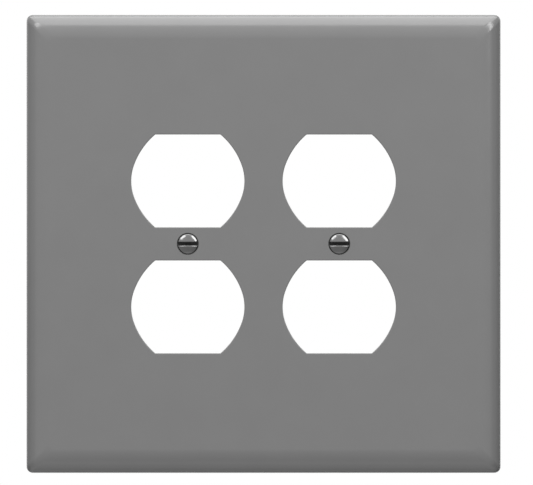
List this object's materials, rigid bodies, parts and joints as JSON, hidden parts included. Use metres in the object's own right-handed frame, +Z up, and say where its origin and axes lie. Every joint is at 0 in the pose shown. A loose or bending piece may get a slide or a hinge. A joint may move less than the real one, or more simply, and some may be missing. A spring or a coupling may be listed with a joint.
{
  "type": "duplex receptacle wall plate",
  "caption": "Oversize double-gang wall plate for duplex receptacles, in grey plastic with a rolled edge and captive slotted oval-head screws.",
  "frame": {"origin": "middle of the wall plane, which the rear rim of the plate rests on", "axes": "+X right seen from the front, +Y into the wall, +Z up; the front faces -Y"},
  "size_m": [0.1446, 0.0135, 0.1396],
  "materials": {
    "plate_plastic": "satin",
    "screw_metal": "satin",
    "retainer_nylon": "matte"
  },
  "bodies": {
    "wall_plate": {"wall_plate": "plate_plastic"},
    "left_retainer": {"left_retainer": "retainer_nylon"},
    "left_screw": {"left_screw": "screw_metal"},
    "right_retainer": {"right_retainer": "retainer_nylon"},
    "right_screw": {"right_screw": "screw_metal"}
  },
  "joints": [
    {"name": "left_screw_slide", "type": "slide", "parent": "wall_plate", "child": "left_retainer", "axis": [0, -1, 0], "range_m": [0, 0.0034]},
    {"name": "left_screw_turn", "type": "hinge", "parent": "left_retainer", "child": "left_screw", "pos_m": [-0.02302, 0, 0], "axis": [0, 1, 0], "continuous": true},
    {"name": "right_screw_slide", "type": "slide", "parent": "wall_plate", "child": "right_retainer", "axis": [0, -1, 0], "range_m": [0, 0.0034]},
    {"name": "right_screw_turn", "type": "hinge", "parent": "right_retainer", "child": "right_screw", "pos_m": [0.02302, 0, 0], "axis": [0, 1, 0], "continuous": true}
  ]
}
